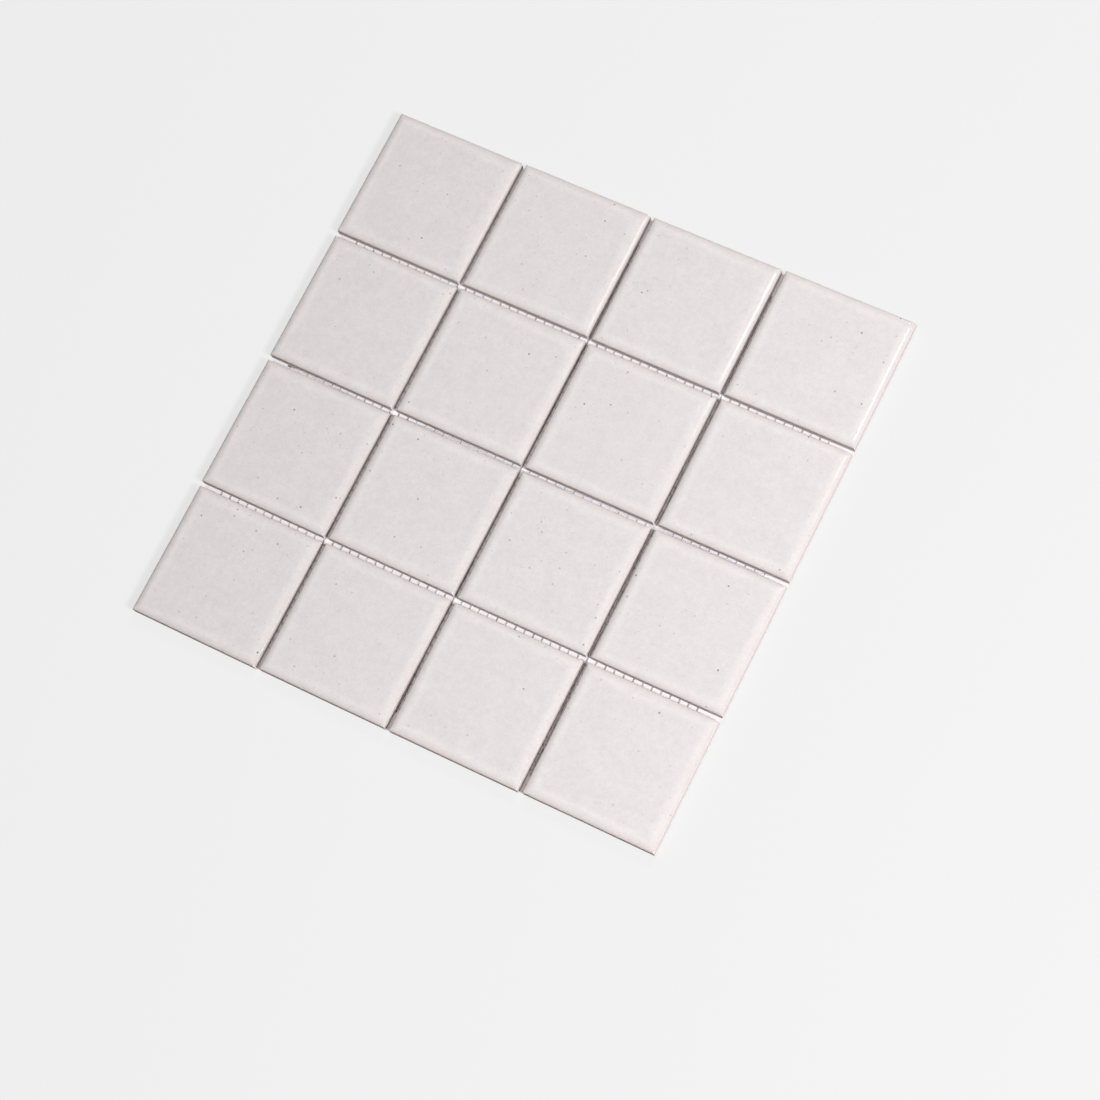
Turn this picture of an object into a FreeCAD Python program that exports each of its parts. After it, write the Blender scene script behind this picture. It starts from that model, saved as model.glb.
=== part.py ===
import FreeCAD, Part
import math
import os
import Sketcher
from FreeCAD import Vector

# Mosaic tile sheet: glazed square chips glued face up on a net of glass-fibre yarns.
# Millimetres. The sheet lies flat on z = 0 with its faces up and the origin under its middle.
# Row 1 is the row at +Y and column 1 is the column at -X.

SIZES = {
    # grid of chips
    "tile_rows": 4,
    "tile_columns": 4,
    "tile_side": 73.0,
    "joint_gap": 2.7,
    # one chip
    "tile_thickness": 6.0,
    "corner_radius": 1.6,
    "rim_width": 3.2,
    "rim_drop": 0.2,
    "edge_round": 1.6,
    "back_bevel": 0.5,
    # keyed back: grooves between raised bars
    "groove_width": 3.0,
    "groove_pitch": 7.0,
    "groove_depth": 0.6,
    "groove_border": 5.0,
    # lay of the chips: the turn at the left side in degrees, and one column that lies low
    "side_turn": -0.42,
    "slip_column": 3,
    "column_slip": -0.35,
    # net of yarns
    "weft_width": 0.9,
    "weft_thickness": 0.25,
    "weft_pitch": 4.6,
    "warp_width": 0.9,
    "warp_thickness": 0.25,
    "warp_pitch": 5.1,
    "net_inset_left": 9.0,
    "net_inset_right": 12.0,
    "net_inset_top": 13.5,
    "net_inset_bottom": 10.0,
    "yarn_tail": 1.5,
    # dabs of glue between net and chips
    "dab_width": 14.0,
    "dab_thickness": 0.2,
    "dab_spread": 21.0,
}

# lengths and counts that the sheet works out from the sizes above
FORMULAS = {
    "tile_pitch": "=tile_side + joint_gap",
    "sheet_width": "=tile_columns * tile_side + (tile_columns - 1) * joint_gap",
    "sheet_length": "=tile_rows * tile_side + (tile_rows - 1) * joint_gap",
    "groove_length": "=tile_side - 2 * groove_border",
    "groove_count": "=floor((groove_length - groove_width) / groove_pitch) + 1",
    "net_width": "=sheet_width - net_inset_left - net_inset_right",
    "net_length": "=sheet_length - net_inset_top - net_inset_bottom",
    "net_middle_x": "=(net_inset_left - net_inset_right) / 2",
    "net_middle_y": "=(net_inset_bottom - net_inset_top) / 2",
    "net_height": "=weft_thickness + warp_thickness",
    "weft_count": "=floor((net_length - 2 * yarn_tail) / weft_pitch) + 1",
    "warp_count": "=floor((net_width - 2 * yarn_tail) / warp_pitch) + 1",
    "tile_foot": "=net_height + dab_thickness",
}

doc = FreeCAD.newDocument("mosaic_tile_sheet")


def make_sheet():
    sheet = doc.addObject("Spreadsheet::Sheet", "sizes")
    for row, (name, value) in enumerate({**SIZES, **FORMULAS}.items(), start=1):
        sheet.set(f"A{row}", name)
        sheet.set(f"B{row}", str(value))
        sheet.setAlias(f"B{row}", name)
    doc.recompute()
    return sheet


sizes = make_sheet()


def size(name):
    return float(sizes.get(name))


def bind(thing, prop, formula):
    """Bind a property to a formula of spaced words, of which some name cells of the sheet."""
    cells = {**SIZES, **FORMULAS}
    words = [f"sizes.{word}" if word in cells else word for word in formula.split()]
    thing.setExpression(prop, " ".join(words))


def new_body(name):
    body = doc.addObject("PartDesign::Body", name)
    body.Label = name
    return body


def origin_feature(body, role):
    return next(f for f in body.Origin.OriginFeatures if f.Role == role)


def new_sketch(body, name, role):
    sketch = body.newObject("Sketcher::SketchObject", name)
    sketch.AttachmentSupport = (origin_feature(body, role), [""])
    sketch.MapMode = "FlatFace"
    return sketch


def dimension(sketch, formula, kind, *where):
    """Add a dimension to a sketch at its present value and bind it to the sheet."""
    index = sketch.addConstraint(Sketcher.Constraint(kind, *where))
    bind(sketch, f"Constraints[{index}]", formula)


def rectangle(sketch, centre_x, centre_y, width, length):
    """A rectangle about a point. Each place and size is a formula of the sheet."""
    corners = [Vector(-1, -1), Vector(1, -1), Vector(1, 1), Vector(-1, 1)]
    for i in range(4):
        sketch.addGeometry(Part.LineSegment(corners[i], corners[(i + 1) % 4]), False)
    middle = sketch.addGeometry(Part.Point(Vector(0, 0)), True)
    for i in range(4):
        sketch.addConstraint(Sketcher.Constraint("Coincident", i, 2, (i + 1) % 4, 1))
    for i in (0, 2):
        sketch.addConstraint(Sketcher.Constraint("Horizontal", i))
        sketch.addConstraint(Sketcher.Constraint("Vertical", i + 1))
    sketch.addConstraint(Sketcher.Constraint("Symmetric", 0, 1, 1, 2, middle, 1))
    dimension(sketch, width, "DistanceX", 0, 1, 0, 2, 2.0)
    dimension(sketch, length, "DistanceY", 1, 1, 1, 2, 2.0)
    dimension(sketch, centre_x, "DistanceX", -1, 1, middle, 1, 0.0)
    dimension(sketch, centre_y, "DistanceY", -1, 1, middle, 1, 0.0)


def octagon(sketch, centre, centre_x, centre_y, across):
    """An eight-sided outline drawn about a point, as wide across its corners as the size named."""
    radius = size(across) / 2
    ring = sketch.addGeometry(Part.Circle(centre, Vector(0, 0, 1), radius), True)
    turns = [math.radians(45 * i - 22.5) for i in range(8)]
    corners = [centre + Vector(math.cos(turn), math.sin(turn)) * radius for turn in turns]
    lines = []
    for i in range(8):
        side = Part.LineSegment(corners[i], corners[(i + 1) % 8])
        lines.append(sketch.addGeometry(side, False))
    for i in range(8):
        follower = lines[(i + 1) % 8]
        sketch.addConstraint(Sketcher.Constraint("Coincident", lines[i], 2, follower, 1))
        sketch.addConstraint(Sketcher.Constraint("PointOnObject", lines[i], 1, ring))
    for line in lines[1:]:
        sketch.addConstraint(Sketcher.Constraint("Equal", lines[0], line))
    sketch.addConstraint(Sketcher.Constraint("Vertical", lines[0]))
    dimension(sketch, across, "Diameter", ring, 2 * radius)
    dimension(sketch, centre_x, "DistanceX", -1, 1, ring, 3, centre.x)
    dimension(sketch, centre_y, "DistanceY", -1, 1, ring, 3, centre.y)


def pad(body, name, sketch, length):
    feature = body.newObject("PartDesign::Pad", name)
    feature.Profile = sketch
    bind(feature, "Length", length)
    doc.recompute()
    return feature


def line_pattern(body, name, original, axis, pitch, count):
    pattern = body.newObject("PartDesign::LinearPattern", name)
    pattern.Originals = [original]
    pattern.Direction = (origin_feature(body, axis), [""])
    pattern.Mode = "Spacing"
    bind(pattern, "Offset", pitch)
    bind(pattern, "Occurrences", count)
    body.Tip = pattern
    doc.recompute()
    return pattern


def must_cut(before, after):
    """A cut that points the wrong way takes nothing off and shows no error."""
    if not after.Shape.Volume < before.Shape.Volume:
        raise RuntimeError(f"{after.Label} cuts nothing")


def edge_names(shape, wanted):
    return [f"Edge{i}" for i, edge in enumerate(shape.Edges, start=1) if wanted(edge)]


def is_upright(edge):
    box = edge.BoundBox
    return box.XLength < 0.001 and box.YLength < 0.001


def is_underneath(edge):
    return edge.BoundBox.ZMax < 0.001


def shoulder_section(body):
    """What is taken off one side of the face: a shallow slope, then a round down to the wall."""
    half = size("tile_side") / 2
    top = size("tile_thickness")
    radius = size("edge_round")
    slope = math.atan2(size("rim_drop"), size("rim_width"))
    meet_x = half - radius + radius * math.sin(slope)
    meet_z = top - size("rim_drop") + (half - meet_x) * math.tan(slope)
    centre = Vector(half - radius, meet_z - radius * math.cos(slope))
    wall = Vector(half, centre.y)
    inner = Vector(half - size("rim_width"), top)
    outside = half + radius
    above = top + radius
    sketch = new_sketch(body, "shoulder_section", "XZ_Plane")
    round_edge = Part.ArcOfCircle(
        Part.Circle(centre, Vector(0, 0, 1), radius), 0, math.pi / 2 - slope
    )
    pieces = [
        Part.LineSegment(Vector(outside, centre.y), wall),
        round_edge,
        Part.LineSegment(Vector(meet_x, meet_z), inner),
        Part.LineSegment(inner, Vector(inner.x, above)),
        Part.LineSegment(Vector(inner.x, above), Vector(outside, above)),
        Part.LineSegment(Vector(outside, above), Vector(outside, centre.y)),
    ]
    for piece in pieces:
        sketch.addGeometry(piece, False)
    for i in (0, 2, 3, 4, 5):
        sketch.addConstraint(Sketcher.Constraint("Coincident", i, 2, (i + 1) % 6, 1))
    sketch.addConstraint(Sketcher.Constraint("Tangent", 1, 2, 2, 1))
    for i in (0, 4):
        sketch.addConstraint(Sketcher.Constraint("Horizontal", i))
    for i in (3, 5):
        sketch.addConstraint(Sketcher.Constraint("Vertical", i))
    sketch.addConstraint(Sketcher.Constraint("Horizontal", 1, 3, 0, 2))
    angle = math.pi - slope
    dimension(sketch, "edge_round", "Radius", 1, radius)
    dimension(sketch, "tile_side / 2", "DistanceX", -1, 1, 0, 2, wall.x)
    dimension(sketch, "180 deg - atan( rim_drop / rim_width )", "Angle", 2, angle)
    dimension(sketch, "tile_side / 2 - rim_width", "DistanceX", -1, 1, 2, 2, inner.x)
    dimension(sketch, "tile_thickness", "DistanceY", -1, 1, 2, 2, inner.y)
    dimension(sketch, "tile_side / 2 + edge_round", "DistanceX", -1, 1, 4, 2, outside)
    dimension(sketch, "tile_thickness + edge_round", "DistanceY", -1, 1, 3, 2, above)
    return sketch


def tile_block(body):
    """The pressed block: a square with rounded uprights and a bevel round its back."""
    outline = new_sketch(body, "outline", "XY_Plane")
    rectangle(outline, "0", "0", "tile_side", "tile_side")
    block = pad(body, "block", outline, "tile_thickness")
    corners = body.newObject("PartDesign::Fillet", "corners")
    corners.Base = (block, edge_names(block.Shape, is_upright))
    bind(corners, "Radius", "corner_radius")
    doc.recompute()
    bevel = body.newObject("PartDesign::Chamfer", "back_bevel")
    bevel.Base = (corners, edge_names(corners.Shape, is_underneath))
    bind(bevel, "Size", "back_bevel")
    doc.recompute()
    return bevel


def cushion_face(body, block):
    """The face falls away along its rim and rounds over into all four walls."""
    shoulder = body.newObject("PartDesign::Pocket", "shoulder")
    shoulder.Profile = shoulder_section(body)
    shoulder.Type = "ThroughAll"
    shoulder.SideType = "Symmetric"
    doc.recompute()
    must_cut(block, shoulder)
    shoulders = body.newObject("PartDesign::PolarPattern", "shoulders")
    shoulders.Originals = [shoulder]
    shoulders.Axis = (origin_feature(body, "Z_Axis"), [""])
    shoulders.Angle = 360
    shoulders.Occurrences = 4
    body.Tip = shoulders
    doc.recompute()
    must_cut(shoulder, shoulders)
    return shoulders


def keyed_back(body, block):
    """Grooves side by side in the back, which the bedding mortar keys into."""
    section = new_sketch(body, "groove_outline", "XY_Plane")
    first = "( 1 - groove_count ) / 2 * groove_pitch"
    rectangle(section, first, "0", "groove_width", "groove_length")
    groove = body.newObject("PartDesign::Pocket", "groove")
    groove.Profile = section
    groove.Reversed = True
    bind(groove, "Length", "groove_depth")
    doc.recompute()
    must_cut(block, groove)
    grooves = line_pattern(body, "grooves", groove, "X_Axis", "groove_pitch", "groove_count")
    must_cut(groove, grooves)


def make_tile(row, column):
    """A chip in its place in the grid, on the glue, as little out of true as the net lets it be."""
    body = new_body(f"tile_r{row}_c{column}")
    keyed_back(body, cushion_face(body, tile_block(body)))
    turn = f"( ( tile_columns - {column} ) / ( tile_columns - 1 ) ) ^ 2 * side_turn"
    slip = f"( {column} == slip_column ? column_slip : 0 )"
    bind(body, "Placement.Base.x", f"( {column} - ( tile_columns + 1 ) / 2 ) * tile_pitch")
    bind(body, "Placement.Base.y", f"( ( tile_rows + 1 ) / 2 - {row} ) * tile_pitch + {slip}")
    bind(body, "Placement.Base.z", "tile_foot")
    bind(body, "Placement.Rotation.Angle", turn)
    return body


def make_weft():
    """The net's flat yarns across the sheet, lowest of all."""
    body = new_body("net_weft")
    outline = new_sketch(body, "weft_outline", "XY_Plane")
    first = "( 1 - weft_count ) / 2 * weft_pitch"
    rectangle(outline, "0", first, "net_width", "weft_width")
    yarn = pad(body, "weft_yarn", outline, "weft_thickness")
    line_pattern(body, "weft_yarns", yarn, "Y_Axis", "weft_pitch", "weft_count")
    bind(body, "Placement.Base.x", "net_middle_x")
    bind(body, "Placement.Base.y", "net_middle_y")
    return body


def make_warp():
    """The net's yarns along the sheet, which lie on the ones across it."""
    body = new_body("net_warp")
    outline = new_sketch(body, "warp_outline", "XY_Plane")
    first = "( 1 - warp_count ) / 2 * warp_pitch"
    rectangle(outline, first, "0", "warp_width", "net_length")
    yarn = pad(body, "warp_yarn", outline, "warp_thickness")
    line_pattern(body, "warp_yarns", yarn, "X_Axis", "warp_pitch", "warp_count")
    bind(body, "Placement.Base.x", "net_middle_x")
    bind(body, "Placement.Base.y", "net_middle_y")
    bind(body, "Placement.Base.z", "weft_thickness")
    return body


def make_dabs():
    """Flat dabs of glue, four under each chip, between its back and the net."""
    body = new_body("glue_dabs")
    spots = new_sketch(body, "dab_outlines", "XY_Plane")
    for x in (-1, 1):
        for y in (-1, 1):
            centre = Vector(x, y) * size("dab_spread")
            octagon(spots, centre, f"{x} * dab_spread", f"{y} * dab_spread", "dab_width")
    dabs = pad(body, "dabs_of_one_chip", spots, "dab_thickness")
    grid = line_pattern(body, "dabs_of_all_chips", dabs, "X_Axis", "tile_pitch", "tile_columns")
    grid.Direction2 = (origin_feature(body, "Y_Axis"), [""])
    grid.Mode2 = "Spacing"
    bind(grid, "Offset2", "tile_pitch")
    bind(grid, "Occurrences2", "tile_rows")
    bind(body, "Placement.Base.x", "( 1 - tile_columns ) / 2 * tile_pitch")
    bind(body, "Placement.Base.y", "( 1 - tile_rows ) / 2 * tile_pitch")
    bind(body, "Placement.Base.z", "net_height")
    return body


def check(bodies):
    for thing in doc.Objects:
        if {"Invalid", "Error"} & set(thing.State):
            raise RuntimeError(f"{thing.Label}: {thing.State}")
    for body in bodies:
        if body.Shape.isNull() or not body.Shape.isValid():
            raise RuntimeError(f"{body.Label} has no valid shape")


parts = [make_weft(), make_warp(), make_dabs()]
for row in range(1, SIZES["tile_rows"] + 1):
    for column in range(1, SIZES["tile_columns"] + 1):
        parts.append(make_tile(row, column))
doc.recompute()
check(parts)

os.makedirs("parts", exist_ok=True)
for part in parts:
    part.Shape.exportStep(f"parts/{part.Label}.step")
    print(part.Label, len(part.Shape.Solids), "solids", round(part.Shape.Volume), "mm3")
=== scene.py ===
import bpy
import math
from mathutils import Matrix, Vector


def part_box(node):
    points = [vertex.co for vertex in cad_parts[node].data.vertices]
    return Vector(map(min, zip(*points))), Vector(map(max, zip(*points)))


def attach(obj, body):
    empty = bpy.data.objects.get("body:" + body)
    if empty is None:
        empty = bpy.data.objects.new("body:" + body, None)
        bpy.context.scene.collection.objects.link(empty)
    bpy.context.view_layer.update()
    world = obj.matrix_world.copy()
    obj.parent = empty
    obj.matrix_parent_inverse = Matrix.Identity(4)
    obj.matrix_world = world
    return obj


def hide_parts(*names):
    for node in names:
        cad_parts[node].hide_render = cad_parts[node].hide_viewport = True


# A sheet of square glazed chips on a net of glass-fibre yarns, lying face up on a pale floor.
# Blender works in metres, in the part's own frame. Sizes below are in millimetres, and MM turns
# them into metres; where a size is in metres, its comment says so.

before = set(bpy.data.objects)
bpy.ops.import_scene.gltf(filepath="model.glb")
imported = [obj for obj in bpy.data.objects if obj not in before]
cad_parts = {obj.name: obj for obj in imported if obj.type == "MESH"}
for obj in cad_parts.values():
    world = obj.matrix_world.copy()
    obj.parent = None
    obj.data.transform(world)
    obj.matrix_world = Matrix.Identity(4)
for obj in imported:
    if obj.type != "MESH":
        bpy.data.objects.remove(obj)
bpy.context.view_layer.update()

MM = 0.001
GRID = 4

# one chip
CHIP_SIDE = 73.0
CHIP_HEIGHT = 6.0
# loops of the face that shape its cushioned rim: how far in from the edge, and how high
RIM_LOOPS = (
    (27.0, 0.0),
    (18.0, 0.0),
    (8.0, 0.0),
    (5.6, 0.0),
    (4.4, 0.015),
    (2.6, -0.05),
    (0.95, -0.36),
    (0.2, -0.55),
    (0.0, -0.95),
)
# loops round the walls that keep them upright: how far below the face, and above the foot
SHOULDER_LOOP = 1.2
FOOT_LOOP = 1.2
SMOOTH_LEVELS = 2
# how far the chips at the left side are turned, in degrees
SIDE_TURN = -0.42
# how deep the waves in a chip's skin are at most, and how wide
WAVE_DEPTH = 0.12
WAVE_WIDTH = 18.0
# edges sharper than this many degrees are shaded sharp
SHARP_ANGLE = 35

# keyed back
GROOVE_WIDTH = 3.0
GROOVE_PITCH = 7.0
GROOVE_DEPTH = 0.6
GROOVE_BORDER = 5.0
GROOVE_ROUND = 0.25
GROOVE_LENGTH = CHIP_SIDE - 2 * GROOVE_BORDER
GROOVE_COUNT = int((GROOVE_LENGTH - GROOVE_WIDTH) / GROOVE_PITCH) + 1

# net
WEFT_WIDTH = 0.9
WEFT_THICKNESS = 0.2
WEFT_PITCH = 4.6
WARP_WIDTH = 0.9
WARP_PITCH = 5.1
YARN_SIDES = 6
STRAND_RADIUS = 0.21
STRAND_OFFSET = 0.85 * STRAND_RADIUS
TWIST_STEPS = 8
# from the end of a pair to where its strands first lie one above the other
FIRST_TWIST = 1.95
# how widely the net is pulled about along Y and X, and how far apart its pulls are
PULLS = (("Y", 2.6), ("X", 1.8))
PULL_WIDTH = 45.0

# glue
DAB_WIDTH = 14.0
DAB_SPREAD = 21.0
DAB_THICKNESS = 0.5
# the dabs' size against the CAD's, which leaves room for their uneven outline
DAB_SHARE = 0.9
DAB_UNEVEN = 5.0
DAB_UNEVEN_WIDTH = 6.0

# camera
CAMERA_PLACE = Vector((463.49, -342.64, 1495.26)) * MM
CAMERA_TARGET = Vector((33.37, -33.23, 6.7)) * MM
CAMERA_ROLL = math.radians(-28.68)
CAMERA_LENS = 102.908
CAMERA_SENSOR = 36.0


def deselect_all():
    """Leave no piece selected."""
    bpy.ops.object.select_all(action="DESELECT")


def activate(*pieces):
    """Select pieces only, the first of them active."""
    deselect_all()
    for piece in pieces:
        piece.select_set(True)
    bpy.context.view_layer.objects.active = pieces[0]


def apply_place(piece):
    """Apply a piece's place, turn and scale to its points."""
    activate(piece)
    bpy.ops.object.transform_apply(location=True, rotation=True, scale=True)


def add_modifier(piece, kind, **settings):
    """Add a modifier, set it up and apply it."""
    modifier = piece.modifiers.new(kind.title(), kind)
    for name, value in settings.items():
        setattr(modifier, name, value)
    activate(piece)
    bpy.ops.object.modifier_apply(modifier=modifier.name)


def repeat(piece, step, count):
    """Repeat a piece in a row."""
    add_modifier(
        piece,
        "ARRAY",
        count=count,
        use_relative_offset=False,
        use_constant_offset=True,
        constant_offset_displace=step,
    )


def cut_across(piece, axis, places):
    """Cut a piece's faces through at places along an axis."""
    activate(piece)
    bpy.ops.object.mode_set(mode="EDIT")
    for place in places:
        point = Vector((0, 0, 0))
        point[axis] = place
        normal = Vector((0, 0, 0))
        normal[axis] = 1
        bpy.ops.mesh.select_all(action="SELECT")
        bpy.ops.mesh.bisect(plane_co=point, plane_no=normal)
    bpy.ops.object.mode_set(mode="OBJECT")


def move_points(piece, wanted, step):
    """Move the points of a piece that a test picks out."""
    activate(piece)
    bpy.ops.object.mode_set(mode="EDIT")
    bpy.ops.mesh.select_mode(type="VERT")
    bpy.ops.mesh.select_all(action="DESELECT")
    bpy.ops.object.mode_set(mode="OBJECT")
    for vertex in piece.data.vertices:
        vertex.select = wanted(vertex.co)
    bpy.ops.object.mode_set(mode="EDIT")
    bpy.ops.transform.translate(value=step)
    bpy.ops.object.mode_set(mode="OBJECT")


def close_ends(piece):
    """Cap the open ends of swept yarns and turn all faces outwards."""
    activate(piece)
    bpy.ops.object.mode_set(mode="EDIT")
    bpy.ops.mesh.select_all(action="SELECT")
    bpy.ops.mesh.fill_holes(sides=0)
    bpy.ops.mesh.select_all(action="SELECT")
    bpy.ops.mesh.normals_make_consistent(inside=False)
    bpy.ops.object.mode_set(mode="OBJECT")


def chip_blank():
    """A chip about the origin, foot at z = 0: a block cut beside its edges, then smoothed."""
    half = CHIP_SIDE / 2 * MM
    height = CHIP_HEIGHT * MM
    bpy.ops.mesh.primitive_cube_add(size=1, location=(0, 0, height / 2))
    chip = bpy.context.object
    chip.scale = (2 * half, 2 * half, height)
    apply_place(chip)
    reaches = [half - inset * MM for inset, _ in RIM_LOOPS if inset]
    for axis in (0, 1):
        cut_across(chip, axis, [-reach for reach in reaches] + reaches)
    cut_across(chip, 2, [FOOT_LOOP * MM, height - SHOULDER_LOOP * MM])

    def on_loop(inset):
        """A test for the face's points at one distance from its edge."""
        reach = half - inset * MM
        lowest = height - MM
        near = 0.1 * MM
        return lambda at: at.z > lowest and abs(max(abs(at.x), abs(at.y)) - reach) < near

    for inset, rise in RIM_LOOPS:
        if rise:
            move_points(chip, on_loop(inset), (0, 0, rise * MM))
    add_modifier(chip, "SUBSURF", levels=SMOOTH_LEVELS, render_levels=SMOOTH_LEVELS)
    chip.dimensions.z = height
    apply_place(chip)
    return chip


def key_the_back(chip):
    """Cut the grooves of the keyed back."""
    bpy.ops.mesh.primitive_cube_add(size=1)
    cutter = bpy.context.object
    cutter.scale = (GROOVE_WIDTH * MM, GROOVE_LENGTH * MM, 2 * GROOVE_DEPTH * MM)
    cutter.location.x = (1 - GROOVE_COUNT) / 2 * GROOVE_PITCH * MM
    apply_place(cutter)
    add_modifier(cutter, "BEVEL", width=GROOVE_ROUND * MM, segments=2)
    repeat(cutter, (GROOVE_PITCH * MM, 0, 0), GROOVE_COUNT)
    add_modifier(chip, "BOOLEAN", object=cutter, operation="DIFFERENCE", solver="EXACT")
    bpy.data.objects.remove(cutter)


def mark_points(chip, lot):
    """Keep each point's place on the chip, in millimetres, and the chip's own number."""
    chip.data.attributes.new("chip_place", "FLOAT_VECTOR", "POINT")
    chip.data.attributes.new("chip_lot", "FLOAT", "POINT")
    places = chip.data.attributes["chip_place"].data
    lots = chip.data.attributes["chip_lot"].data
    for vertex in chip.data.vertices:
        places[vertex.index].vector = vertex.co / MM
        lots[vertex.index].value = lot


def lay_chip(blank, row, column, clouds, material):
    """A copy of the blank in its place on the net, turned a little towards the left side."""
    name = f"tile_r{row}_c{column}"
    low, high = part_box(name)
    chip = blank.copy()
    chip.data = blank.data.copy()
    chip.name = f"chip_r{row}_c{column}"
    bpy.context.collection.objects.link(chip)
    mark_points(chip, (row - 1) * GRID + column)
    turn = ((GRID - column) / (GRID - 1)) ** 2 * SIDE_TURN
    chip.rotation_euler.z = math.radians(turn)
    chip.location = ((low.x + high.x) / 2, (low.y + high.y) / 2, low.z)
    apply_place(chip)
    add_modifier(
        chip,
        "DISPLACE",
        texture=clouds,
        texture_coords="LOCAL",
        direction="NORMAL",
        strength=WAVE_DEPTH * MM,
        mid_level=1.0,
    )
    chip.data.materials.clear()
    chip.data.materials.append(material)
    activate(chip)
    bpy.ops.object.shade_smooth_by_angle(angle=math.radians(SHARP_ANGLE))
    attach(chip, "root")
    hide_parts(name)


def cloud_texture(name, size):
    """A soft cloudy texture with clouds of one size."""
    texture = bpy.data.textures.new(name, "CLOUDS")
    texture.noise_scale = size * MM
    texture.noise_depth = 1
    return texture


def pull(net, clouds):
    """Pull the net a little out of square, as it is when the chips are laid on it."""
    for direction, strength in PULLS:
        add_modifier(
            net,
            "DISPLACE",
            texture=clouds,
            texture_coords="LOCAL",
            direction=direction,
            strength=strength * MM,
            mid_level=0.5,
        )


def twisted_pair():
    """Two strands that make half a turn about each other from one flat yarn to the next."""
    low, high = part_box("net_warp")
    length = high.y - low.y
    turns = length / (2 * WEFT_PITCH * MM)
    strands = []
    for side in (-1, 1):
        bpy.ops.mesh.primitive_circle_add(
            vertices=YARN_SIDES,
            radius=STRAND_RADIUS * MM,
            rotation=(math.pi / 2, 0, 0),
            location=(side * STRAND_OFFSET * MM, 0, 0),
        )
        strands.append(bpy.context.object)
        apply_place(strands[-1])
    activate(*strands)
    bpy.ops.object.join()
    pair = bpy.context.object
    pair.rotation_euler.y = math.pi / 2 - FIRST_TWIST / WEFT_PITCH * math.pi
    apply_place(pair)
    add_modifier(
        pair,
        "SCREW",
        axis="Y",
        angle=2 * math.pi * turns,
        screw_offset=length,
        steps=round(TWIST_STEPS * turns),
        render_steps=round(TWIST_STEPS * turns),
        use_smooth_shade=True,
    )
    close_ends(pair)
    floor_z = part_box("net_weft")[0].z
    pair.dimensions.z = high.z - floor_z
    pair.location = (low.x + WARP_WIDTH / 2 * MM, low.y, (floor_z + high.z) / 2)
    apply_place(pair)
    return pair


def pairs_along(clouds, material):
    """The yarns along the sheet, in two pieces: the left and the right half of the net."""
    low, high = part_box("net_warp")
    pitch = WARP_PITCH * MM
    count = round((high.x - low.x - WARP_WIDTH * MM) / pitch) + 1
    first = twisted_pair()
    left_count = count // 2
    halves = (("left", 0, left_count), ("right", left_count, count - left_count))
    for side, start, number in halves:
        half = first.copy()
        half.data = first.data.copy()
        half.name = f"net_pairs_{side}"
        bpy.context.collection.objects.link(half)
        half.location.x = start * pitch
        apply_place(half)
        repeat(half, (pitch, 0, 0), number)
        pull(half, clouds)
        finish_net(half, material, "net_warp")
    bpy.data.objects.remove(first)


def yarns_across(clouds, material):
    """The flat yarns across the sheet, between the two strands of each pair."""
    low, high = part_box("net_weft")
    pitch = WEFT_PITCH * MM
    width = WEFT_WIDTH * MM
    count = round((high.y - low.y - width) / pitch) + 1
    middle_z = (low.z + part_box("net_warp")[1].z) / 2
    bpy.ops.mesh.primitive_circle_add(
        vertices=YARN_SIDES, radius=width / 2, rotation=(0, math.pi / 2, 0)
    )
    net = bpy.context.object
    net.name = "net_flat_yarns"
    apply_place(net)
    steps = round((high.x - low.x) / (WARP_PITCH * MM))
    add_modifier(
        net,
        "SCREW",
        axis="X",
        angle=0,
        screw_offset=high.x - low.x,
        steps=steps,
        render_steps=steps,
        use_smooth_shade=True,
    )
    close_ends(net)
    net.dimensions.z = WEFT_THICKNESS * MM
    net.location = (low.x, low.y + width / 2, middle_z)
    apply_place(net)
    repeat(net, (0, pitch, 0), count)
    pull(net, clouds)
    finish_net(net, material, "net_weft")


def finish_net(net, material, replaced):
    """Give a piece of the net its material and its place in the part."""
    net.data.materials.clear()
    net.data.materials.append(material)
    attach(net, "root")
    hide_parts(replaced)


def glue_spots(clouds, material):
    """Dabs of glue that the chips have squeezed flat into the net."""
    low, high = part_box("glue_dabs")
    reach = DAB_WIDTH / 2 * math.cos(math.pi / 8) * MM
    spread = 2 * DAB_SPREAD * MM
    step = (high.x - low.x - 2 * reach - spread) / (GRID - 1)
    bpy.ops.mesh.primitive_uv_sphere_add(segments=20, ring_count=8, radius=DAB_SHARE * reach)
    dab = bpy.context.object
    dab.name = "glue_spots"
    dab.dimensions.z = DAB_THICKNESS * MM
    dab.location = (low.x + reach, low.y + reach, high.z - DAB_THICKNESS / 2 * MM)
    apply_place(dab)
    repeat(dab, (spread, 0, 0), 2)
    repeat(dab, (0, spread, 0), 2)
    repeat(dab, (step, 0, 0), GRID)
    repeat(dab, (0, step, 0), GRID)
    for direction in "XY":
        add_modifier(
            dab,
            "DISPLACE",
            texture=clouds,
            texture_coords="LOCAL",
            direction=direction,
            strength=DAB_UNEVEN * MM,
            mid_level=0.5,
        )
    dab.data.materials.clear()
    dab.data.materials.append(material)
    activate(dab)
    bpy.ops.object.shade_smooth()
    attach(dab, "root")
    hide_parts("glue_dabs")


def new_material(name):
    """A material with one plain shader, and that shader."""
    material = bpy.data.materials.new(name)
    material.use_nodes = True
    nodes = material.node_tree.nodes
    nodes.clear()
    shader = nodes.new("ShaderNodeBsdfPrincipled")
    output = nodes.new("ShaderNodeOutputMaterial")
    material.node_tree.links.new(shader.outputs[0], output.inputs["Surface"])
    return material, shader


def put(material, socket, value):
    """Give a socket a value, or link it to another socket."""
    if isinstance(value, bpy.types.NodeSocket):
        material.node_tree.links.new(value, socket)
    elif value is not None:
        socket.default_value = value


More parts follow.
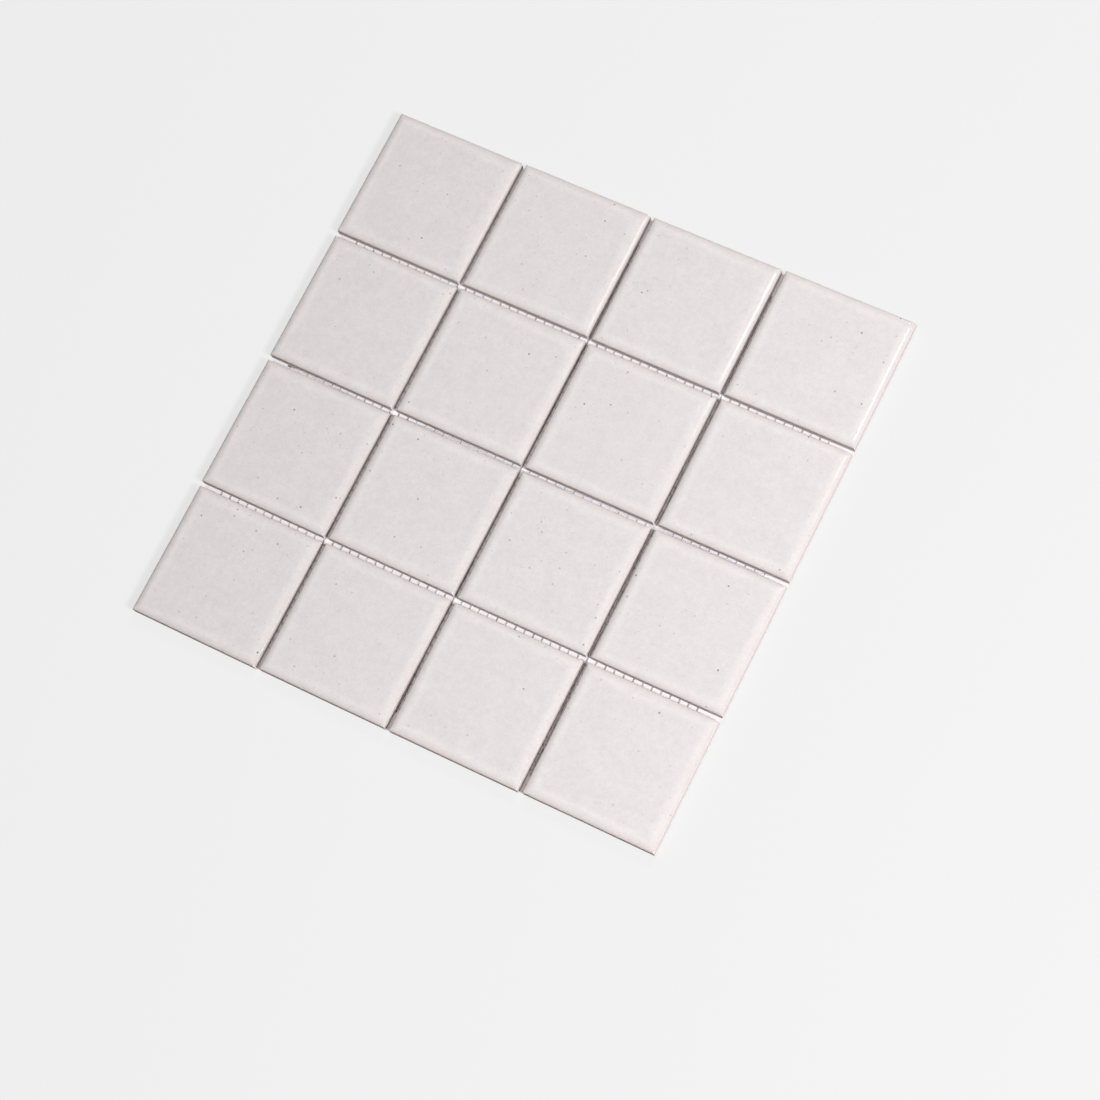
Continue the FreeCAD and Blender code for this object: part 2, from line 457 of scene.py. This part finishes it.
def node(material, kind, inputs=(), output=0, **settings):
    """Add a node and give back one of its outputs."""
    made = material.node_tree.nodes.new(kind)
    for name, value in settings.items():
        setattr(made, name, value)
    for key, value in dict(inputs).items():
        put(material, made.inputs[key], value)
    return made.outputs[output]


def calculate(material, operation, first, second=None, third=None):
    """One step of arithmetic on values."""
    inputs = {0: first, 1: second, 2: third}
    return node(material, "ShaderNodeMath", inputs, operation=operation)


def ramp(material, value, low, high, to_low=0.0, to_high=1.0):
    """A smooth step of a value between two places."""
    inputs = {0: value, 1: low, 2: high, 3: to_low, 4: to_high}
    return node(material, "ShaderNodeMapRange", inputs, interpolation_type="SMOOTHSTEP")


def scaled(material, vector, by):
    """A vector times a value."""
    return node(material, "ShaderNodeVectorMath", {0: vector, "Scale": by}, operation="SCALE")


def added(material, first, second):
    """The sum of two vectors."""
    return node(material, "ShaderNodeVectorMath", {0: first, 1: second}, operation="ADD")


def blend(material, share, first, second, mode="MIX"):
    """Mix two colours."""
    mix = material.node_tree.nodes.new("ShaderNodeMix")
    mix.data_type = "RGBA"
    mix.blend_type = mode
    put(material, mix.inputs[0], share)
    put(material, mix.inputs[6], first)
    put(material, mix.inputs[7], second)
    return mix.outputs[2]


def noise(material, where, scale, detail=3.0, roughness=0.5):
    """Smooth noise from 0 to 1, at a scale in waves to the unit of its place."""
    inputs = {"Vector": where, "Scale": scale, "Detail": detail, "Roughness": roughness}
    return node(material, "ShaderNodeTexNoise", inputs)


def split(material, vector):
    """The three values of a vector or a colour."""
    made = material.node_tree.nodes.new("ShaderNodeSeparateXYZ")
    put(material, made.inputs[0], vector)
    return made.outputs


def grey(level):
    """An opaque grey."""
    return (level, level, level, 1)


def colour_stops(material, value, stops):
    """Colours along a value from 0 to 1."""
    made = material.node_tree.nodes.new("ShaderNodeValToRGB")
    put(material, made.inputs[0], value)
    elements = made.color_ramp.elements
    while len(elements) < len(stops):
        elements.new(1.0)
    for element, (place, colour) in zip(elements, stops):
        element.position = place
        element.color = colour
    return made.outputs[0]


def specks(material, where, cell, presence, least, most):
    """Soft round specks in some cells of a flat pattern, each of its own strength. Millimetres."""
    voronoi = material.node_tree.nodes.new("ShaderNodeTexVoronoi")
    voronoi.voronoi_dimensions = "2D"
    put(material, voronoi.inputs["Vector"], where)
    voronoi.inputs["Scale"].default_value = 1 / cell
    red, green, blue = split(material, voronoi.outputs["Color"])
    here = calculate(material, "LESS_THAN", red, presence)
    size = calculate(material, "MULTIPLY_ADD", green, (most - least) / cell, least / cell)
    core = calculate(material, "MULTIPLY", size, 0.35)
    inside = node(
        material,
        "ShaderNodeMapRange",
        {0: voronoi.outputs["Distance"], 1: size, 2: core, 3: 0.0, 4: 1.0},
    )
    strength = calculate(material, "MULTIPLY_ADD", blue, 0.6, 0.4)
    strength = calculate(material, "MULTIPLY", here, strength)
    return calculate(material, "MULTIPLY", inside, strength)


# glaze: its colour, and what that is multiplied by at some distances in from the chip's edge; the
# darkening on the very edge is partly thin glaze and partly painted shade
GLAZE = (0.775, 0.73, 0.73)
GLAZE_STOPS = [
    (0.2, (0.87, 0.825, 0.795)),
    (1.3, (0.96, 0.945, 0.93)),
    (2.8, (1.02, 1.025, 1.02)),
    (4.2, (1.055, 1.06, 1.055)),
    (7.2, (1.0, 1.0, 1.0)),
]
STOPS_REACH = 8.0
# the two tints that the glaze drifts between
TINTS = ((0.99, 0.995, 0.995, 1), (1.005, 0.992, 0.995, 1))
# mottling: waves per millimetre, and what the darkest and lightest spots are multiplied by
MOTTLE = (
    (0.1, 0.985, 1.012),
    (0.3, 0.98, 1.016),
    (0.8, 0.975, 1.018),
    (2.0, 0.975, 1.02),
)
# specks: side of a cell, share of the cells with a speck, least and most radius, strength, colour
SPECKS = (
    (4.3, 0.16, 0.35, 0.65, 0.32, (0.40, 0.35, 0.33, 1)),
    (8.7, 0.15, 0.40, 0.68, 0.55, (0.30, 0.26, 0.25, 1)),
    (15.0, 0.15, 0.45, 0.72, 0.95, (0.14, 0.12, 0.11, 1)),
)
# pimples near the edge: side of a cell, share of the cells with one, least and most radius
PIMPLES = (1.9, 0.22, 0.2, 0.42)
# bare clay: its two colours, and the lighter colour towards the foot, a painted light on the
# shaded lower walls in the joints
CLAY = ((0.68, 0.62, 0.62, 1), (0.60, 0.545, 0.54, 1))
FOOT_PAINTED_LIGHT = (0.77, 0.70, 0.705, 1)
# how far down the wall the glaze runs, how much its end wanders, and how softly it ends
GLAZE_RUN = 0.85
GLAZE_WANDER = 0.6
GLAZE_FADE = 0.15
# the heights between which the clay turns into the foot's painted lighter colour
FOOT_LIGHT_FADE = (3.4, 1.8)
# roughness and shine of bare clay, and of the glaze
CLAY_FINISH = (0.85, 0.1)
GLAZE_FINISH = (0.12, 0.5)
# how far each chip's pattern lies from the last one's, and how far specks are bent out of round
CHIP_SHIFT = (173.0, 91.0, 37.0)
SPECK_BEND = (0.35, 0.35, 0)
# how high the bumps are: in the glaze, at its edge, at a speck, at a pimple and on bare clay
PEEL = 0.007
EDGE_GRAIN = 0.007
SPECK_DENT = -0.03
PIMPLE = 0.035
CLAY_GRAIN = 0.12


def glaze_colour(material, inset):
    """Paler in a band along the rim; darker and pinkish on the very edge, partly thin glaze and
    partly painted shade.
    """
    stops = [
        (place / STOPS_REACH, tuple(c * f for c, f in zip(GLAZE, factor)) + (1,))
        for place, factor in GLAZE_STOPS
    ]
    return colour_stops(material, calculate(material, "DIVIDE", inset, STOPS_REACH), stops)


def uneven_inset(material, where, x, y, wander):
    """How far in from the chip's edge a point is, as the glaze's uneven bands have it."""
    across = calculate(material, "ABSOLUTE", x)
    along = calculate(material, "ABSOLUTE", y)
    reach = calculate(material, "MAXIMUM", across, along)
    inset = calculate(material, "SUBTRACT", CHIP_SIDE / 2, reach)
    drift = calculate(material, "SUBTRACT", noise(material, where, 0.03, 1.0), 0.5)
    twice = calculate(material, "MULTIPLY", wander, 2.0)
    drift = calculate(material, "MULTIPLY_ADD", drift, 5.0, twice)
    drift = calculate(material, "MULTIPLY", drift, ramp(material, inset, 1.5, 5.0))
    return calculate(material, "ADD", inset, drift)


def clouded(material, where, glaze):
    """The glaze with faint tints and mottling."""
    cloud = ramp(material, noise(material, where, 0.07, 4.0, 0.6), 0.3, 0.7)
    glaze = blend(material, 1.0, glaze, blend(material, cloud, *TINTS), "MULTIPLY")
    for scale, low, high in MOTTLE:
        mottle = ramp(material, noise(material, where, scale, 2.0, 0.6), 0.32, 0.68)
        mottle = blend(material, mottle, grey(low), grey(high))
        glaze = blend(material, 1.0, glaze, mottle, "MULTIPLY")
    return glaze


def specked(material, where, speck_place, glaze):
    """The glaze with its specks, which crowd in places, and the share of the largest ones."""
    crowd = ramp(material, noise(material, where, 0.02, 1.0), 0.35, 0.65, 0.35, 2.0)
    for cell, presence, least, most, amount, colour in SPECKS:
        presence = calculate(material, "MULTIPLY", crowd, presence)
        share = specks(material, speck_place, cell, presence, least, most)
        glaze = blend(material, calculate(material, "MULTIPLY", share, amount), glaze, colour)
    return glaze, share


def bare_clay(material, grain, wander, z):
    """Patchy pinkish clay, turning lighter and even towards the foot, as painted light on the
    shaded lower walls.
    """
    clay = blend(material, ramp(material, grain, 0.3, 0.7), *CLAY)
    # the lighter foot colour is painted light for the shaded lower walls
    foot = ramp(material, calculate(material, "MULTIPLY_ADD", wander, 2.0, z), *FOOT_LIGHT_FADE)
    return blend(material, foot, clay, FOOT_PAINTED_LIGHT)


def glaze_skin(material, where, speck_place, inset, share):
    """The height of the glaze's skin: a fine peel, dents at the specks, pimples at the edge."""
    on_edge = ramp(material, inset, 3.0, 1.2)
    edge_grain = calculate(material, "MULTIPLY", noise(material, where, 1.1, 2.0), on_edge)
    skin = calculate(material, "MULTIPLY", edge_grain, EDGE_GRAIN)
    skin = calculate(material, "MULTIPLY_ADD", noise(material, where, 0.7, 2.0), PEEL, skin)
    skin = calculate(material, "MULTIPLY_ADD", share, SPECK_DENT, skin)
    pimples = specks(material, speck_place, *PIMPLES)
    pimples = calculate(material, "MULTIPLY", pimples, ramp(material, inset, 4.0, 2.0))
    return calculate(material, "MULTIPLY_ADD", pimples, PIMPLE, skin)


def glaze_material():
    """Warm off-white satin glaze with grey-brown specks, over bare pinkish clay."""
    material, shader = new_material("glazed_clay")
    place = node(material, "ShaderNodeAttribute", output="Vector", attribute_name="chip_place")
    lot = node(material, "ShaderNodeAttribute", output="Fac", attribute_name="chip_lot")
    where = added(material, place, scaled(material, CHIP_SHIFT, lot))
    x, y, z = split(material, place)
    wander = calculate(material, "SUBTRACT", noise(material, where, 0.25, 3.0), 0.5)
    inset = uneven_inset(material, where, x, y, wander)
    wobble = noise(material, where, 4.0, 2.0)
    speck_place = added(material, where, scaled(material, SPECK_BEND, wobble))
    glaze = clouded(material, where, glaze_colour(material, inset))
    glaze, share = specked(material, where, speck_place, glaze)

    grain = noise(material, where, 2.5, 5.0, 0.7)
    clay = bare_clay(material, grain, wander, z)
    line = calculate(material, "MULTIPLY_ADD", wander, GLAZE_WANDER, CHIP_HEIGHT - GLAZE_RUN)
    above = calculate(material, "SUBTRACT", z, line)
    glazed = ramp(material, above, -GLAZE_FADE, GLAZE_FADE)
    put(material, shader.inputs["Base Color"], blend(material, glazed, clay, glaze))
    for name, dull, bright in zip(("Roughness", "Specular IOR Level"), CLAY_FINISH, GLAZE_FINISH):
        put(material, shader.inputs[name], ramp(material, glazed, 0.0, 1.0, dull, bright))

    skin = glaze_skin(material, where, speck_place, inset, share)
    bare = calculate(material, "MULTIPLY", grain, CLAY_GRAIN)
    height = node(material, "ShaderNodeMix", {0: glazed, 2: bare, 3: skin})
    bump = node(material, "ShaderNodeBump", {"Strength": 1.0, "Distance": MM, "Height": height})
    put(material, shader.inputs["Normal"], bump)
    return material


# yarn: fibres to the metre across it and along it, and stretches of paler yarn to the metre
FIBRES_ACROSS = 9000.0
FIBRES_ALONG = 700.0
PALE_STRETCHES = 230.0
PALE_YARN = (0.85, 0.82, 0.87, 1)
# how rough the yarn is, and how high its fibres stand
YARN_ROUGHNESS = 0.5
FIBRE_HEIGHT = 0.06
# the two colours that each kind of yarn has between and on its fibres; the yarns along are far
# darker than those across, which gives the dark ticks where they cross the row joints
YARN_ALONG = ((0.32, 0.28, 0.27, 1), (0.58, 0.52, 0.50, 1))
YARN_ACROSS = ((0.71, 0.69, 0.735, 1), (0.83, 0.805, 0.855, 1))


def yarn_material(name, axis, colours, paleness=0.0):
    """Yarn with fine fibres along one axis, and here and there a stretch of it partly paler."""
    material, shader = new_material(name)
    coordinates = node(material, "ShaderNodeTexCoord", output="Object")
    stretch = [FIBRES_ACROSS, FIBRES_ACROSS, FIBRES_ACROSS]
    stretch[axis] = FIBRES_ALONG
    where = node(material, "ShaderNodeMapping", {"Vector": coordinates, "Scale": stretch})
    fibres = noise(material, where, 1.0, 3.0, 0.6)
    colour = blend(material, ramp(material, fibres, 0.3, 0.7), *colours)
    patches = noise(material, coordinates, PALE_STRETCHES, 2.0)
    colour = blend(material, ramp(material, patches, 0.45, 0.6, 0.0, paleness), colour, PALE_YARN)
    put(material, shader.inputs["Base Color"], colour)
    shader.inputs["Roughness"].default_value = YARN_ROUGHNESS
    height = calculate(material, "MULTIPLY", fibres, FIBRE_HEIGHT)
    bump = node(material, "ShaderNodeBump", {"Strength": 0.6, "Distance": MM, "Height": height})
    put(material, shader.inputs["Normal"], bump)
    return material


DRIED_GLUE = ((0.74, 0.72, 0.64, 1), (0.82, 0.81, 0.76, 1))


def glue_material():
    """Milky dried glue."""
    material, shader = new_material("dried_glue")
    coordinates = node(material, "ShaderNodeTexCoord", output="Object")
    cloud = ramp(material, noise(material, coordinates, 180.0, 3.0), 0.3, 0.7)
    put(material, shader.inputs["Base Color"], blend(material, cloud, *DRIED_GLUE))
    put(material, shader.inputs["Roughness"], ramp(material, cloud, 0.0, 1.0, 0.3, 0.5))
    return material


# floor: its side and how far the sheet reaches on it from its middle, both in metres
FLOOR_SIDE = 12
SHEET_REACH = 0.1495
# how bright the floor looks beside the sheet, and the share of that which takes the shadow
FLOOR_SEEN = 0.868
FLOOR_SHADE = 0.15
# the paint that light bounces off beside the sheet, and the paint under it
FLOOR_BOUNCE = 0.35
FLOOR_PAINT = (0.88, 0.87, 0.91, 1)
# a painted glow under the sheet, seen through its joints: its share of the even look beside the
# sheet, and its warm colour; it lightens and warms the shaded joint floors
JOINT_GLOW_SHARE = 0.2
JOINT_GLOW_TONE = (1.08, 0.93, 0.80, 1)


def floor():
    """A pale floor that looks evenly lit to the camera and in reflections, with a faint shadow,
    and a faint warm painted glow under the sheet that lightens the shaded joints.
    """
    bpy.ops.mesh.primitive_plane_add(size=FLOOR_SIDE, location=(0, 0, 0))
    ground = bpy.context.object
    ground.name = "floor"
    material, shader = new_material("floor_paint")
    x, y, _ = split(material, node(material, "ShaderNodeTexCoord", output="Object"))
    across = calculate(material, "ABSOLUTE", x)
    along = calculate(material, "ABSOLUTE", y)
    reach = calculate(material, "MAXIMUM", across, along)
    beside = calculate(material, "GREATER_THAN", reach, SHEET_REACH)
    rays = material.node_tree.nodes.new("ShaderNodeLightPath").outputs
    mirrored = calculate(material, "MAXIMUM", rays["Is Glossy Ray"], rays["Is Transmission Ray"])
    seen = calculate(material, "MAXIMUM", rays["Is Camera Ray"], mirrored)
    # beside the sheet the glow is the even backdrop; under it, it is painted light in the joints
    glow_share = calculate(material, "MAXIMUM", beside, JOINT_GLOW_SHARE)
    seen = calculate(material, "MULTIPLY", seen, glow_share)
    shaded = FLOOR_SHADE * FLOOR_SEEN
    paint = blend(material, beside, FLOOR_PAINT, grey(FLOOR_BOUNCE))
    put(material, shader.inputs["Base Color"], blend(material, seen, paint, grey(shaded)))
    shader.inputs["Roughness"].default_value = 0.9
    shader.inputs["Specular IOR Level"].default_value = 0.0
    # the glow's colour: warm painted light under the sheet, white beside it
    glow_colour = blend(material, beside, JOINT_GLOW_TONE, grey(1.0))
    put(material, shader.inputs["Emission Color"], glow_colour)
    glow = calculate(material, "MULTIPLY", seen, FLOOR_SEEN - shaded)
    put(material, shader.inputs["Emission Strength"], glow)
    ground.data.materials.append(material)


def camera():
    """The photograph's camera, turned about its own axis as the photograph is."""
    data = bpy.data.cameras.new("camera")
    data.lens = CAMERA_LENS
    data.sensor_width = CAMERA_SENSOR
    data.clip_end = 50
    eye = bpy.data.objects.new("camera", data)
    bpy.context.collection.objects.link(eye)
    look = (CAMERA_TARGET - CAMERA_PLACE).to_track_quat("-Z", "Y").to_matrix().to_4x4()
    roll = Matrix.Rotation(CAMERA_ROLL, 4, "Z")
    eye.matrix_world = Matrix.Translation(CAMERA_PLACE) @ look @ roll
    bpy.context.scene.camera = eye


def lamp(name, azimuth, elevation, distance, size, power, spin=0):
    """A softbox aimed at the sheet, in metres and degrees. The azimuth is from +X towards +Y."""
    data = bpy.data.lights.new(name, "AREA")
    data.shape = "RECTANGLE"
    data.size, data.size_y = size
    data.energy = power
    source = bpy.data.objects.new(name, data)
    bpy.context.collection.objects.link(source)
    turn = math.radians(azimuth)
    rise = math.radians(elevation)
    level = math.cos(rise)
    direction = Vector((level * math.cos(turn), level * math.sin(turn), math.sin(rise)))
    aim = direction.to_track_quat("Z", "Y").to_matrix().to_4x4()
    aim = aim @ Matrix.Rotation(math.radians(spin), 4, "Z")
    source.matrix_world = Matrix.Translation(direction * distance) @ aim


WORLD_LIGHT = 0.03


def studio():
    """A dim world, a key and a fill for the faces, and a small lamp for the rims' highlights."""
    sky = bpy.data.worlds.new("studio")
    sky.use_nodes = True
    background = sky.node_tree.nodes["Background"]
    background.inputs["Color"].default_value = grey(1.0)
    background.inputs["Strength"].default_value = WORLD_LIGHT
    bpy.context.scene.world = sky
    lamp("key", azimuth=-10, elevation=43, distance=2.5, size=(0.57, 0.57), power=75.2)
    lamp("fill", azimuth=90, elevation=43, distance=3.4, size=(0.85, 0.85), power=29)
    glint_size = (0.21, 0.27)
    lamp("glint", azimuth=71, elevation=69.5, distance=2.54, size=glint_size, power=1.6, spin=20)


chip = chip_blank()
key_the_back(chip)
chip_waves = cloud_texture("chip_waves", WAVE_WIDTH)
glaze = glaze_material()
for row in range(1, GRID + 1):
    for column in range(1, GRID + 1):
        lay_chip(chip, row, column, chip_waves, glaze)
bpy.data.objects.remove(chip)
net_pull = cloud_texture("net_pull", PULL_WIDTH)
pairs_along(net_pull, yarn_material("yarn_along", 1, YARN_ALONG, paleness=0.75))
yarns_across(net_pull, yarn_material("yarn_across", 0, YARN_ACROSS))
glue_spots(cloud_texture("glue_edges", DAB_UNEVEN_WIDTH), glue_material())

floor()
studio()
camera()
bpy.context.scene.view_settings.view_transform = "Standard"
